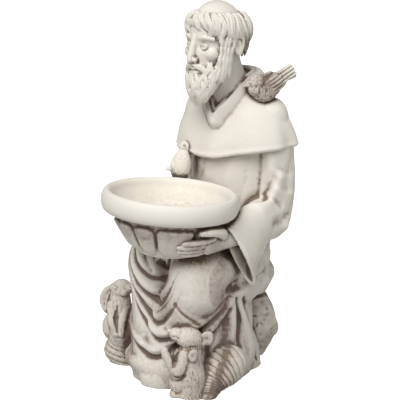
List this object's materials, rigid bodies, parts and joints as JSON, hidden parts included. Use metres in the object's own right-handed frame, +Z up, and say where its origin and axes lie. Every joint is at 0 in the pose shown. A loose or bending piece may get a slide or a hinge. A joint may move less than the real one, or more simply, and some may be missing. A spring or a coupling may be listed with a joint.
{
  "type": "saint francis statue",
  "caption": "Seated friar in a hooded robe who holds a round dish on the knees, with small animals at the feet, for a garden, porch or shelf.",
  "frame": {"origin": "middle of the flat underside's box, on the floor", "axes": "+Z up, the figure looks along -Y, its left hand is towards +X"},
  "size_m": [0.2324, 0.2982, 0.4868],
  "materials": {
    "cast_stone_resin": "ivory stone and resin mix, matt, with a mauve-brown wash left in the hollows"
  },
  "bodies": {
    "root": {"saint_francis_statue": "cast_stone_resin"}
  },
  "joints": []
}
